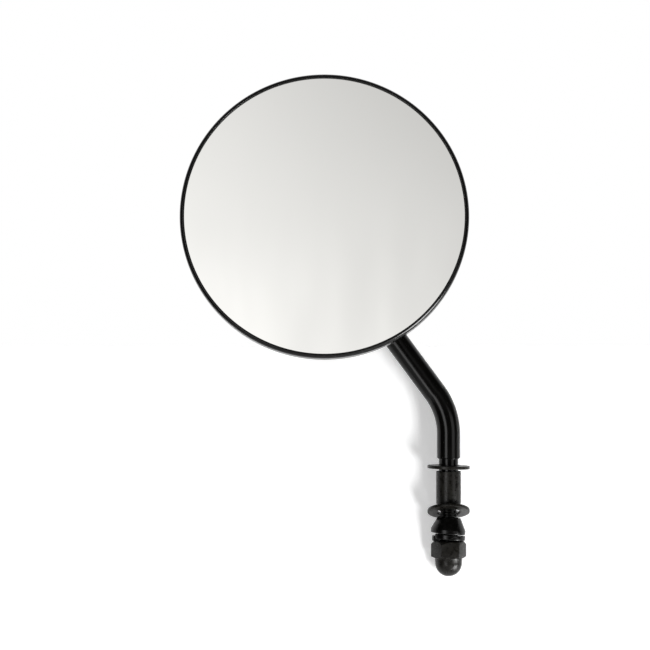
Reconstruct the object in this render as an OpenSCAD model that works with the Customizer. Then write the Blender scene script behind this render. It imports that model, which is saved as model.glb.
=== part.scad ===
// Round mirror on a bent stem, with the clamp hardware on its stud.
// Origin: centre of the stem's shoulder. +Z: up the stud's axis. The glass faces -Y.

/* [Shell] */
// Outer diameter of the shell
rim_d = 114.6; // [100:0.1:130]
// Thickness of the shell's sheet
sheet = 0.9; // [0.7:0.1:1.2]
// Depth of the straight side wall, behind the front of the lip
wall_depth = 4.9; // [4:0.1:8]
// Outer radius of the corner between the side wall and the dome
corner_r = 9; // [6:0.5:12]
// Depth of the dome's crown, behind the front of the lip
dome_depth = 22.5; // [20:0.5:24]
// Width of the rolled lip, seen from the front
lip_w = 1.5; // [1.2:0.1:2]
// Thickness of the rolled lip where it bears on the gasket
lip_t = 0.65; // [0.5:0.05:0.9]
// Lean of the face from upright, upwards
head_tilt = 9.1; // [0:0.1:12]

/* [Glass and its packing] */
// Thickness of the mirror glass
glass_t = 2.5; // [2:0.1:3]
// Width of the gasket's side, round the glass
gasket_side = 0.5; // [0.3:0.05:0.8]
// Thickness of the gasket's front flange
gasket_front = 0.4; // [0.2:0.05:0.6]
// How far the gasket shows inside the lip
gasket_show = 0.3; // [0.1:0.05:0.6]
// Thickness of the foam pad behind the glass
pad_t = 5.5; // [4.5:0.1:6]
// Air between the foam pad and the spring cap
pad_air = 2; // [1:0.5:10]

/* [Ball joint] */
// Diameter of the ball at the end of the stem
ball_d = 15; // [14:0.1:16]
// Distance of the ball's centre behind the front of the lip
ball_set_back = 19; // [18.5:0.1:20.5]
// Running clearance of the ball and its seats
ball_play = 0.05; // [0.02:0.01:0.08]
// Thickness of the ring between the ball and the hub
seat_t = 0.95; // [0.8:0.05:1.2]
// Half angle of the hub's hole, seen from the ball's centre
hole_angle = 50; // [48:0.5:54]
// Thickness of the ball cup at its middle
cup_t = 1.15; // [0.9:0.05:1.5]
// Side wall of the ball cup at the ball's waist
cup_side = 1.7; // [1.2:0.1:2.2]
// Thickness of each disc spring
spring_t = 0.6; // [0.4:0.05:0.7]
// Free cone height of each disc spring
spring_rise = 0.5; // [0.3:0.05:0.6]
// Bore of each disc spring
spring_bore_d = 6.2; // [5:0.1:8]
// Thickness of the spring cap's sheet
cap_t = 0.9; // [0.7:0.1:1.2]
// Width of the spring cap's welded flange
cap_flange = 7; // [4:0.5:10]

/* [Stem] */
// Diameter of the stem's rod
rod_d = 9.525; // [9:0.025:10]
// Straight length above the shoulder
lower_len = 10; // [6:0.5:20]
// Radius of the lower bend, to the middle of the rod
lower_bend_r = 29; // [20:0.5:40]
// Angle of the lower bend
lower_bend = 36.5; // [20:0.5:50]
// Straight length between the bends
upper_len = 68.9; // [60:0.1:90]
// Radius of the upper bend, to the middle of the rod
upper_bend_r = 12; // [11:0.5:16]
// Angle of the upper bend
upper_bend = 85; // [80:0.5:90]
// Turn of the upper bend's plane about the rod
bend_twist = 10.8; // [0:0.1:20]
// Diameter of the neck behind the ball
neck_d = 6; // [5.5:0.1:6.4]
// Length from the ball's centre to the full rod
neck_len = 11; // [10.8:0.1:13]
// Chamfer of the shoulder
shoulder_chamfer = 0.35; // [0.2:0.05:0.45]
// Diameter of the stud, five sixteenths of an inch
stud_d = 7.94; // [7.5:0.02:8.2]
// Chamfer at the stud's end
stud_chamfer = 0.8; // [0.4:0.1:1.2]

/* [Hardware on the stud] */
// Free stud between the shoulder and the upper washer
stud_show = 2.8; // [2.5:0.1:5]
// Outer diameter of the upper washer
upper_washer_d = 17.4; // [15:0.1:20]
// Bore of the upper washer
upper_washer_bore = 8.8; // [8.6:0.1:9.4]
// Thickness of both flat washers
washer_t = 1.35; // [1:0.05:1.8]
// Lean of the upper washer
upper_washer_lean = 1.5; // [0:0.5:3]
// Free stud between the upper washer and the sleeve
sleeve_play = 1; // [0.5:0.05:2]
// Outer diameter of the sleeve
sleeve_d = 10.2; // [9.8:0.1:12]
// Bore of the sleeve
sleeve_bore = 8.4; // [8.3:0.1:8.8]
// Length of the sleeve
sleeve_len = 13.5; // [10:0.5:20]
// Outer diameter of the lower washer
lower_washer_d = 17.4; // [15:0.1:20]
// Bore of the lower washer
lower_washer_bore = 9.6; // [9.5:0.1:9.9]
// Lean of the lower washer, its front edge up
lower_washer_lean = 21.5; // [0:0.5:22]
// Diameter of the cone's top
cone_top_d = 9.5; // [9.4:0.1:11]
// Diameter of the cone's foot
cone_foot_d = 14.3; // [13:0.1:17]
// Height of the cone's slope
cone_slope_h = 4.9; // [3:0.1:6]
// Height of the cone's straight foot
cone_foot_h = 1.6; // [0.8:0.1:2]
// Bore of the cone
cone_bore = 8.8; // [8.7:0.1:9]
// Lean of the cone, its right side down
cone_lean = 5; // [0:0.5:6]
// Outer diameter of the split washer
split_d = 13.7; // [13:0.1:15]
// Bore of the split washer
split_bore = 8.4; // [8.2:0.1:9]
// Thickness of the split washer
split_t = 2; // [1.4:0.1:2.4]
// Height from one end of the split washer to the other
split_rise = 1.2; // [0.6:0.1:1.6]
// Gap between the ends of the split washer
split_gap = 1.2; // [0.8:0.1:2]
// Turn of the split round the stud, from the front to the left
split_angle = 62; // [0:1:180]
// Lean of the split washer, its right side down
split_lean = 3.5; // [0:0.5:4]
// Air between the cone and the split washer
split_play = 0.1; // [0.1:0.05:1]

/* [Acorn nut] */
// Width across the flats, half an inch
nut_flats = 12.7; // [12:0.1:14]
// Turn of the hexagon round the stud
nut_angle = 4; // [-30:1:30]
// Height of the hexagon
hex_h = 6.9; // [5:0.1:8]
// Diameter of the collar below the hexagon
collar_d = 11.3; // [10.6:0.1:11.6]
// Height of the collar
collar_h = 2.1; // [1:0.05:3]
// Diameter of the dome
dome_d = 11; // [10.4:0.1:11.2]
// Angle of the hexagon's chamfers
hex_chamfer = 28; // [20:1:35]
// Length of stud inside the nut
engagement = 6; // [4:0.5:7]
// Running clearance of the nut on the stud, on the radius
thread_play = 0.06; // [0.03:0.01:0.1]

/* [Hidden] */
$fn = 96;

// Base colours of the materials
satin_black = [0.045, 0.045, 0.05];
rough_black = [0.07, 0.07, 0.075];
rubber_black = [0.02, 0.02, 0.022];
mirror_grey = [0.82, 0.83, 0.83];
foam_grey = [0.25, 0.25, 0.26];
acetal_black = [0.04, 0.04, 0.042];
spring_steel = [0.45, 0.46, 0.48];

// Gap between faces that seat on each other
seat_gap = 0.02;
// Air that a loose piece keeps where it nearly touches
loose_gap = 0.12;
// Length by which a cutting shape runs past a face
past = 1;
// Eased edge of the turned and punched pieces
ease = 0.2;

// The head's own frame has its origin at the ball's centre and +Z towards the front.
rim_r = rim_d / 2;
rim_z = ball_set_back;
lip_under_z = rim_z - lip_t;
glass_z = lip_under_z - gasket_front;
pad_z = glass_z - glass_t;
lip_inner_r = rim_r - lip_w;
wall_inner_r = rim_r - sheet;
gasket_r = wall_inner_r - seat_gap;
glass_r = gasket_r - gasket_side - seat_gap;

// The corner's arc and the dome's arc meet on a shared tangent.
corner_c = [rim_r - corner_r, rim_z - wall_depth];
dome_z = rim_z - dome_depth;
corner_sweep = 90 - 2 * atan((corner_c[1] - corner_r - dome_z) / corner_c[0]);
dome_c = [0, corner_c[1] + corner_c[0] * tan(corner_sweep)];
dome_r = corner_r + corner_c[0] / cos(corner_sweep);

// Ball, seat ring and hub are spheres round one centre.
ball_r = ball_d / 2;
seat_in_r = ball_r + ball_play;
seat_out_r = seat_in_r + seat_t;
hub_in_r = seat_out_r + ball_play;
hub_r = hub_in_r + sheet;
// Margin of the seat ring inside the hub's zone
seat_margin = 1;

// Where a sphere round the ball's centre meets the dome's arc of the given radius
function hub_meets(r_hub, r_dome) =
    let(z = (dome_c[1] * dome_c[1] + r_hub * r_hub - r_dome * r_dome) / (2 * dome_c[1]))
    [sqrt(r_hub * r_hub - z * z), z];
hub_outer_meet = hub_meets(hub_r, dome_r);
hub_inner_meet = hub_meets(hub_in_r, dome_r - sheet);

// Angle of a point, seen from the origin of its plane
function angle_of(p) = atan2(p[1], p[0]);

// Height of the dome's arc of the given radius, at a distance from the head's axis
function dome_at(r, r_dome) = dome_c[1] - sqrt(r_dome * r_dome - r * r);
// Distance from the head's axis of the corner's inner face, at a height
function corner_at(z) = corner_c[0] + sqrt(pow(corner_r - sheet, 2) - pow(corner_c[1] - z, 2));

// Ball cup, springs and cap are stacked in front of the ball.
cup_edge_angle = 80;
cup_r = seat_in_r + cup_side;
cup_front = seat_in_r + cup_t;
cup_bevel = 2;
spring_d = 2 * (cup_r - cup_bevel / 2);
spring_h = spring_t + spring_rise;
spring_rear_z = cup_front + seat_gap;
spring_front_z = spring_rear_z + spring_h + seat_gap;
cap_in_z = spring_front_z + spring_h + seat_gap;
cap_side_play = 0.3;
cap_in_r = cup_r + cap_side_play;
cap_r = cap_in_r + cap_t;
cap_corner_r = 2;

// The stem's path runs from the shoulder, up the two bends, to the ball.
rod_r = rod_d / 2;
stud_r = stud_d / 2;
lower_end = [-lower_bend_r * (1 - cos(lower_bend)), 0, lower_len + lower_bend_r * sin(lower_bend)];
along = [-sin(lower_bend), 0, cos(lower_bend)];
across = [cos(lower_bend) * sin(bend_twist), -cos(bend_twist), sin(lower_bend) * sin(bend_twist)];
neck_dir = cos(upper_bend) * along + sin(upper_bend) * across;
upper_start = lower_end + upper_len * along;
upper_end = upper_start + upper_bend_r * (sin(upper_bend) * along + (1 - cos(upper_bend)) * across);
// Full rod between the upper bend and the neck
rod_past_bend = 0.5;
ball_c = upper_end + (rod_past_bend + neck_len) * neck_dir;
// Length of the cone between the rod and the neck
neck_cone_h = 1.6;
// How much thinner the bends are, on the radius, and how far they run into the straights, in degrees
bend_thinning = 0.004;
bend_lap = 0.4;

// The hardware follows down the stud, each piece below the last.
upper_washer_z = -stud_show - washer_t / 2;
sleeve_z = upper_washer_z - washer_t / 2 - sleeve_play;
sleeve_foot_z = sleeve_z - sleeve_len;
lower_washer_z = sleeve_foot_z - sleeve_d / 2 * tan(lower_washer_lean)
    - washer_t / 2 / cos(lower_washer_lean) - loose_gap;
cone_top_z = lower_washer_z - cone_top_d / 2 * norm([tan(lower_washer_lean), tan(cone_lean)])
    - washer_t / 2 / cos(lower_washer_lean) - loose_gap;
cone_h = cone_slope_h + cone_foot_h;
cone_under_z = cone_top_z - cone_h / 2 * (1 + 1 / cos(cone_lean));
split_h = split_t + split_rise;
split_z = cone_under_z - split_play - split_h / 2;
split_opening = 2 * asin(split_gap / split_d);
split_start = 270 - split_angle + split_opening / 2;
split_turn = 360 - split_opening;
split_steps = 60;
// Height of the split washer's underside above its middle, at the outer edge, at a share of its turn
function split_under(share) =
    (split_rise * (1 - share) - split_h / 2) * cos(split_lean)
    - split_d / 2 * cos(split_start + split_turn * share) * sin(split_lean);
split_low = min([for (i = [0:split_steps]) split_under(i / split_steps)]);
nut_z = split_z + split_low - seat_gap;
stud_len = engagement - nut_z;

// Points along an arc, from angle a to angle b
function arc(c, r, a, b, n) = [for (i = [0:n]) c + r * [cos(a + (b - a) * i / n), sin(a + (b - a) * i / n)]];

module in_head() {
    translate(ball_c)
        rotate([90 - head_tilt, 0, 0])
            children();
}

// The same points without the last, where the next arc starts
function open_arc(c, r, a, b, n) = [for (i = [0:n - 1]) arc(c, r, a, b, n)[i]];

// Dish of one sheet: rolled lip, side wall, corner, dome and ball hub
module shell() {
    nose_r = lip_t / 2;
    edge_r = lip_w - nose_r - ease;
    color(satin_black)
        in_head()
            rotate_extrude()
                polygon(concat(
                    arc([lip_inner_r + nose_r, rim_z - nose_r], nose_r, 270, 90, 10),
                    arc([rim_r - edge_r, rim_z - edge_r], edge_r, 90, 0, 8),
                    open_arc(corner_c, corner_r, 0, -corner_sweep, 16),
                    open_arc(dome_c, dome_r, -corner_sweep, angle_of(hub_outer_meet - dome_c), 14),
                    arc([0, 0], hub_r, angle_of(hub_outer_meet), hole_angle - 90, 6),
                    open_arc([0, 0], hub_in_r, hole_angle - 90, angle_of(hub_inner_meet), 6),
                    open_arc(dome_c, dome_r - sheet, angle_of(hub_inner_meet - dome_c), -corner_sweep, 14),
                    arc(corner_c, corner_r - sheet, -corner_sweep, 0, 16),
                    [[wall_inner_r, lip_under_z]]
                ));
}

// Ring of soft rubber with a flange over the edge of the glass
module glass_gasket() {
    flange_r = lip_inner_r - gasket_show;
    color(rubber_black)
        in_head()
            rotate_extrude()
                polygon([
                    [flange_r, glass_z + seat_gap],
                    [flange_r, lip_under_z - gasket_front / 3],
                    [flange_r + gasket_front / 3, lip_under_z - seat_gap],
                    [gasket_r, lip_under_z - seat_gap],
                    [gasket_r, pad_z],
                    [gasket_r - gasket_side, pad_z],
                    [gasket_r - gasket_side, glass_z + seat_gap]
                ]);
}

// Flat round glass with ground edges
module glass() {
    ground = 0.3;
    color(mirror_grey)
        in_head()
            rotate_extrude()
                polygon([
                    [0, pad_z], [glass_r - ground, pad_z], [glass_r, pad_z + ground],
                    [glass_r, glass_z - ground], [glass_r - ground, glass_z], [0, glass_z]
                ]);
}

// Foam disc that rests on the inside of the shell's corner
module backing_pad() {
    back_z = pad_z - pad_t;
    hole_r = cap_r + pad_air;
    color(foam_grey)
        in_head()
            rotate_extrude()
                polygon(concat(
                    [[hole_r, pad_z - seat_gap], [hole_r, back_z]],
                    [for (i = [0:6]) let(z = back_z + (pad_t - seat_gap) * i / 6)
                        [min(corner_at(min(z, corner_c[1])) - loose_gap, glass_r), z]]
                ));
}

// Hat of thin sheet, welded to the inside of the dome, that the springs push against
module spring_cap() {
    flange_r = cap_r + cap_flange;
    under_r = dome_r - sheet - seat_gap;
    top_z = cap_in_z + cap_t;
    flange = [for (i = [0:4]) cap_in_r + (flange_r - cap_in_r) * i / 4];
    flange_top = [for (i = [0:4]) flange_r - cap_flange * i / 4];
    color(spring_steel)
        in_head()
            rotate_extrude()
                polygon(concat(
                    [[0, cap_in_z]],
                    [[cap_in_r, cap_in_z]],
                    [for (r = flange) [r, dome_at(r, under_r)]],
                    [for (r = flange_top) [r, dome_at(r, under_r) + cap_t]],
                    arc([cap_r - cap_corner_r, top_z - cap_corner_r], cap_corner_r, 0, 90, 6),
                    [[0, top_z]]
                ));
}

// One conical spring disc, its bore at the rear
module disc_spring() {
    rotate_extrude()
        polygon([
            [spring_bore_d / 2, 0],
            [spring_d / 2, spring_rise],
            [spring_d / 2, spring_h],
            [spring_bore_d / 2, spring_t]
        ]);
}

module rear_disc_spring() {
    color(spring_steel)
        in_head()
            translate([0, 0, spring_rear_z])
                disc_spring();
}

module front_disc_spring() {
    color(spring_steel)
        in_head()
            translate([0, 0, spring_front_z + spring_h])
                mirror([0, 0, 1])
                    disc_spring();
}

// Cup over the front of the ball, with a flat nose for the springs
module ball_cup() {
    edge_z = seat_in_r * cos(cup_edge_angle);
    color(acetal_black)
        in_head()
            rotate_extrude()
                polygon(concat(
                    arc([0, 0], seat_in_r, 90, 90 - cup_edge_angle, 24),
                    [[cup_r, edge_z], [cup_r, cup_front - cup_bevel], [cup_r - cup_bevel, cup_front], [0, cup_front]]
                ));
}

// Ring between the ball and the hub
module seat_ring() {
    from = hole_angle - 90 + seat_margin;
    to = angle_of(hub_inner_meet) - seat_margin;
    color(acetal_black)
        in_head()
            rotate_extrude()
                polygon(concat(arc([0, 0], seat_in_r, from, to, 10), arc([0, 0], seat_out_r, to, from, 10)));
}

// Turned and threaded foot of the rod, below the shoulder
module stud() {
    translate([0, 0, -stud_len])
        cylinder(h = stud_chamfer, r1 = stud_r - stud_chamfer, r2 = stud_r);
    translate([0, 0, stud_chamfer - stud_len])
        cylinder(h = stud_len - stud_chamfer, r = stud_r);
}

// Bend of the rod that starts at the origin along +Y and turns to -X. It runs a little way into the straight
// lengths at both ends, and is thinner than they are by a hair, as a bent rod is.
module bend(bend_r, angle) {
    translate([-bend_r, 0, 0])
        rotate([0, 0, -bend_lap])
            rotate_extrude(angle = angle + 2 * bend_lap)
                translate([bend_r, 0])
                    circle(r = rod_r - bend_thinning);
}

// Rod of the stem from the shoulder to the start of the upper bend
module lower_rod() {
    cylinder(h = shoulder_chamfer, r1 = rod_r - shoulder_chamfer, r2 = rod_r);
    translate([0, 0, shoulder_chamfer])
        cylinder(h = lower_len - shoulder_chamfer, r = rod_r);
    translate([0, 0, lower_len])
        rotate([90, 0, 0])
            bend(lower_bend_r, lower_bend);
    translate(lower_end)
        rotate([0, -lower_bend, 0])
            cylinder(h = upper_len, r = rod_r);
}

// Upper bend, neck and ball, with +Z along the rod and the bend turning to -Y
module upper_rod() {
    rotate([90, 0, 90])
        bend(upper_bend_r, upper_bend);
    translate([0, -upper_bend_r * (1 - cos(upper_bend)), upper_bend_r * sin(upper_bend)])
        rotate([upper_bend, 0, 0]) {
            cylinder(h = rod_past_bend, r = rod_r);
            translate([0, 0, rod_past_bend])
                cylinder(h = neck_cone_h, r1 = rod_r, r2 = neck_d / 2);
            translate([0, 0, rod_past_bend + neck_cone_h])
                cylinder(h = neck_len - neck_cone_h, r = neck_d / 2);
            translate([0, 0, rod_past_bend + neck_len])
                sphere(r = ball_r);
        }
}

module stem() {
    color(satin_black) {
        stud();
        lower_rod();
        translate(upper_start)
            rotate([0, -lower_bend, 0])
                rotate([0, 0, bend_twist])
                    upper_rod();
    }
}

// Round ring with eased edges, its middle at the origin
module flat_washer(outer_d, bore_d) {
    rotate_extrude()
        polygon([
            [bore_d / 2, -washer_t / 2],
            [outer_d / 2 - ease, -washer_t / 2],
            [outer_d / 2, -washer_t / 2 + ease],
            [outer_d / 2, washer_t / 2 - ease],
            [outer_d / 2 - ease, washer_t / 2],
            [bore_d / 2, washer_t / 2]
        ]);
}

module upper_washer() {
    color(rough_black)
        translate([0, 0, upper_washer_z])
            rotate([0, upper_washer_lean, 0])
                flat_washer(upper_washer_d, upper_washer_bore);
}

module lower_washer() {
    color(rough_black)
        translate([0, 0, lower_washer_z])
            rotate([-lower_washer_lean, 0, 0])
                flat_washer(lower_washer_d, lower_washer_bore);
}

module spacer_sleeve() {
    color(rough_black)
        translate([0, 0, sleeve_foot_z])
            rotate_extrude()
                polygon([
                    [sleeve_bore / 2, 0],
                    [sleeve_d / 2 - ease, 0],
                    [sleeve_d / 2, ease],
                    [sleeve_d / 2, sleeve_len - ease],
                    [sleeve_d / 2 - ease, sleeve_len],
                    [sleeve_bore / 2, sleeve_len]
                ]);
}

// Conical collar with a straight foot
module cone_spacer() {
    color(rough_black)
        translate([0, 0, cone_top_z - cone_h / 2])
            rotate([0, cone_lean, 0])
                rotate_extrude()
                    polygon([
                        [cone_bore / 2, cone_h / 2],
                        [cone_top_d / 2, cone_h / 2],
                        [cone_foot_d / 2, cone_h / 2 - cone_slope_h],
                        [cone_foot_d / 2, ease - cone_h / 2],
                        [cone_foot_d / 2 - ease, -cone_h / 2],
                        [cone_bore / 2, -cone_h / 2]
                    ]);
}

// Split spring washer: one turn of a square section that falls to the right from its upper end
module lock_washer() {
    section = [
        [split_bore / 2, 0], [split_d / 2, 0], [split_d / 2, split_t], [split_bore / 2, split_t]
    ];
    points = [
        for (i = [0:split_steps]) let(a = split_start + split_turn * i / split_steps) for (p = section)
            [p[0] * cos(a), p[0] * sin(a), split_rise * (1 - i / split_steps) + p[1] - split_h / 2]
    ];
    sides = [
        for (i = [0:split_steps - 1]) for (k = [0:3])
            let(a = 4 * i + k, b = 4 * i + (k + 1) % 4)
            [b, b + 4, a + 4, a]
    ];
    color(rough_black)
        translate([0, 0, split_z])
            rotate([0, split_lean, 0])
                polyhedron(
                    points,
                    concat([[3, 2, 1, 0]], sides, [[for (k = [0:3]) 4 * split_steps + k]])
                );
}

// Domed hexagon nut with a blind bore
module acorn_nut() {
    hex_r = nut_flats / 2 / cos(30);
    face_r = nut_flats / 2 - ease;
    fall = (hex_r + past - face_r) * tan(hex_chamfer);
    bore_r = stud_r + thread_play;
    bore_depth = hex_h + collar_h + dome_d / 4;
    mouth = 0.5;
    color(rough_black)
        translate([0, 0, nut_z])
            difference() {
                union() {
                    intersection() {
                        translate([0, 0, -hex_h])
                            rotate([0, 0, nut_angle])
                                cylinder(h = hex_h, r = hex_r, $fn = 6);
                        rotate_extrude()
                            polygon([
                                [0, 0], [face_r, 0], [hex_r + past, -fall],
                                [hex_r + past, fall - hex_h], [face_r, -hex_h], [0, -hex_h]
                            ]);
                    }
                    translate([0, 0, -hex_h - collar_h])
                        cylinder(h = collar_h, r1 = dome_d / 2, r2 = collar_d / 2);
                    translate([0, 0, -hex_h - collar_h])
                        sphere(d = dome_d);
                }
                translate([0, 0, -bore_depth])
                    cylinder(h = bore_depth + past, r = bore_r);
                translate([0, 0, -mouth])
                    cylinder(h = mouth + seat_gap, r1 = bore_r, r2 = bore_r + mouth);
            }
}

shell();
glass_gasket();
glass();
backing_pad();
spring_cap();
rear_disc_spring();
front_disc_spring();
ball_cup();
seat_ring();
stem();
upper_washer();
spacer_sleeve();
lower_washer();
cone_spacer();
lock_washer();
acorn_nut();
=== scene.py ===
import math

import bmesh
import bpy
from bpy.props import FloatProperty, FloatVectorProperty, PointerProperty
from mathutils import Matrix, Vector


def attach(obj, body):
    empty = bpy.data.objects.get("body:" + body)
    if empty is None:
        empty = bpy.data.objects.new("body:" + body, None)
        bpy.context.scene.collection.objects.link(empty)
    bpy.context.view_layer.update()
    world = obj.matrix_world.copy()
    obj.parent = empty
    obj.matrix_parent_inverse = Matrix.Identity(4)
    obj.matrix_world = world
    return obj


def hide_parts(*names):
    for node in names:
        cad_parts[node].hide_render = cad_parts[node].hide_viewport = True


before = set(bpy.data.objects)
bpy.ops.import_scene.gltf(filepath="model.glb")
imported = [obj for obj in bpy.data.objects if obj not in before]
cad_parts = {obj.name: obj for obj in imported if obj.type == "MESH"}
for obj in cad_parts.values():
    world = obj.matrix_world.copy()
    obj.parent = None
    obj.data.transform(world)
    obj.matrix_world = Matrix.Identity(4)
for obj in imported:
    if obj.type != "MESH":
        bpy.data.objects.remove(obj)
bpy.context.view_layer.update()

bl_info = {
    "name": "Round mirror on a bent stem",
    "version": (1, 0, 0),
    "blender": (4, 5, 0),
    "location": "View3D > Sidebar > Mirror",
    "description": "Dresses the packed mirror and sets a studio round it",
    "category": "Object",
}

# Sizes are kept in metres. Most in the property groups repeat those of the part's source.
MM = 0.001
TURN = 2 * math.pi
# Sides of the meshes turned for the head
HEAD_SIDES = 360


# Outlines and meshes


def arc(centre, radius, start, end, steps):
    """Points along an arc in the plane, angles in degrees."""
    points = []
    for i in range(steps + 1):
        a = math.radians(start + (end - start) * i / steps)
        points.append((centre[0] + radius * math.cos(a), centre[1] + radius * math.sin(a)))
    return points


def rounded(corners, steps=5):
    """Closed outline from corners (r, z, rounding radius)."""
    points = []
    for i, (r, z, rounding) in enumerate(corners):
        here = Vector((r, z))
        if rounding == 0:
            points.append((r, z))
            continue
        to_last = (Vector(corners[i - 1][:2]) - here).normalized()
        to_next = (Vector(corners[(i + 1) % len(corners)][:2]) - here).normalized()
        half = to_last.angle(to_next) / 2
        centre = here + (to_last + to_next).normalized() * rounding / math.sin(half)
        first = here + to_last * rounding / math.tan(half) - centre
        last = here + to_next * rounding / math.tan(half) - centre
        a = math.atan2(first.y, first.x)
        sweep = (math.atan2(last.y, last.x) - a + math.pi) % TURN - math.pi
        for k in range(steps + 1):
            b = a + sweep * k / steps
            points.append((centre.x + rounding * math.cos(b), centre.y + rounding * math.sin(b)))
    return points


def skin(name, rings, loop=False, capped=False, sharp=32):
    """Closed mesh over rings of points. A ring of one point is a tip."""
    work = bmesh.new()
    rows = [[work.verts.new(p) for p in ring] for ring in rings]
    pairs = list(zip(rows, rows[1:])) + ([(rows[-1], rows[0])] if loop else [])
    for a, b in pairs:
        count = max(len(a), len(b))
        for i in range(count):
            k = (i + 1) % count
            if len(a) == 1:
                work.faces.new((a[0], b[k], b[i]))
            elif len(b) == 1:
                work.faces.new((a[i], a[k], b[0]))
            else:
                work.faces.new((a[i], a[k], b[k], b[i]))
    if capped:
        work.faces.new(rows[0])
        work.faces.new(rows[-1])
    bmesh.ops.recalc_face_normals(work, faces=work.faces)
    mesh = bpy.data.meshes.new(name)
    work.to_mesh(mesh)
    work.free()
    mesh.shade_smooth()
    mesh.set_sharp_from_angle(angle=math.radians(sharp))
    return mesh


def circle(radius, z, count):
    """One ring round the Z axis, or its middle point where the radius is nothing."""
    if radius < 1e-7:
        return [(0, 0, z)]
    return [
        (radius * math.cos(TURN * i / count), radius * math.sin(TURN * i / count), z)
        for i in range(count)
    ]


def turned(name, outline, count=144, loop=True):
    """Body of revolution round the Z axis."""
    return skin(name, [circle(r, z, count) for r, z in outline], loop=loop)


def piece(name, mesh, body, nodes, finish, place=None):
    """Adds a mesh as a piece of the mirror that stands for CAD nodes."""
    shape = bpy.data.objects.new(name, mesh)
    bpy.context.scene.collection.objects.link(shape)
    mesh.materials.append(finish_of(finish))
    if place is not None:
        mesh.transform(place)
    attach(shape, body)
    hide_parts(*nodes)


def coat_node(node, finish):
    """Gives a carried-over CAD node its material."""
    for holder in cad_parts[node].material_slots:
        holder.material = finish_of(finish)


# Shader groups


def group_sockets(name, inputs, outputs):
    """A new shader group with its sockets, and its input and output nodes."""
    group = bpy.data.node_groups.new(name, "ShaderNodeTree")
    for label, kind, value in inputs:
        socket = group.interface.new_socket(name=label, in_out="INPUT", socket_type=kind)
        if value is not None:
            socket.default_value = value
    for label, kind in outputs:
        group.interface.new_socket(name=label, in_out="OUTPUT", socket_type=kind)
    entry = group.nodes.new("NodeGroupInput")
    leave = group.nodes.new("NodeGroupOutput")
    return group, entry, leave


def noise(tree, vector, scale, detail=3.0, rough=0.5):
    """Noise texture node; scale is a number or a socket."""
    node = tree.nodes.new("ShaderNodeTexNoise")
    node.inputs["Detail"].default_value = detail
    node.inputs["Roughness"].default_value = rough
    if isinstance(scale, (int, float)):
        node.inputs["Scale"].default_value = scale
    else:
        tree.links.new(scale, node.inputs["Scale"])
    tree.links.new(vector, node.inputs["Vector"])
    return node.outputs["Fac"]


def remap(tree, value, low, high, to_low=0.0, to_high=1.0):
    """Map Range node from low..high; each bound is a number or a socket."""
    node = tree.nodes.new("ShaderNodeMapRange")
    node.interpolation_type = "SMOOTHSTEP"
    tree.links.new(value, node.inputs["Value"])
    bounds = zip(("From Min", "From Max", "To Min", "To Max"), (low, high, to_low, to_high))
    for label, bound in bounds:
        if isinstance(bound, (int, float)):
            node.inputs[label].default_value = bound
        else:
            tree.links.new(bound, node.inputs[label])
    return node.outputs["Result"]


def maths(tree, operation, *values):
    """Math node; each value is a number or a socket."""
    node = tree.nodes.new("ShaderNodeMath")
    node.operation = operation
    for i, value in enumerate(values):
        if isinstance(value, (int, float)):
            node.inputs[i].default_value = value
        else:
            tree.links.new(value, node.inputs[i])
    return node.outputs[0]


def blend_colours(tree, mask, first, second):
    """Mix node for two colours; each is a value or a socket."""
    node = tree.nodes.new("ShaderNodeMix")
    node.data_type = "RGBA"
    tree.links.new(mask, node.inputs["Factor"])
    for label, colour in (("A", first), ("B", second)):
        socket = next(s for s in node.inputs if s.name == label and s.type == "RGBA")
        if isinstance(colour, (tuple, list)):
            socket.default_value = colour
        else:
            tree.links.new(colour, socket)
    return next(s for s in node.outputs if s.type == "RGBA")


def mottled_coat_group():
    """Coat with soft patches of shade and sheen, and a fine grain."""
    group, entry, leave = group_sockets(
        "mottled_coat",
        [
            ("Vector", "NodeSocketVector", None),
            ("Deep colour", "NodeSocketColor", (0.01, 0.01, 0.01, 1)),
            ("Pale colour", "NodeSocketColor", (0.02, 0.02, 0.02, 1)),
            ("Patch scale", "NodeSocketFloat", 200.0),
            ("Grain scale", "NodeSocketFloat", 1500.0),
            ("Grain height", "NodeSocketFloat", 0.00001),
            ("Smooth roughness", "NodeSocketFloat", 0.3),
            ("Dull roughness", "NodeSocketFloat", 0.4),
        ],
        [
            ("Colour", "NodeSocketColor"),
            ("Roughness", "NodeSocketFloat"),
            ("Normal", "NodeSocketVector"),
        ],
    )
    patches = noise(group, entry.outputs["Vector"], entry.outputs["Patch scale"], 4.0, 0.6)
    grain = noise(group, entry.outputs["Vector"], entry.outputs["Grain scale"], 2.0, 0.5)
    shade = remap(group, maths(group, "MULTIPLY", patches, grain), 0.12, 0.4)
    colour = blend_colours(group, shade, entry.outputs["Deep colour"], entry.outputs["Pale colour"])
    dull = remap(
        group, patches, 0.3, 0.7, entry.outputs["Smooth roughness"], entry.outputs["Dull roughness"]
    )
    bump = group.nodes.new("ShaderNodeBump")
    bump.inputs["Strength"].default_value = 1.0
    group.links.new(grain, bump.inputs["Height"])
    group.links.new(entry.outputs["Grain height"], bump.inputs["Distance"])
    group.links.new(colour, leave.inputs["Colour"])
    group.links.new(dull, leave.inputs["Roughness"])
    group.links.new(bump.outputs["Normal"], leave.inputs["Normal"])


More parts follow.
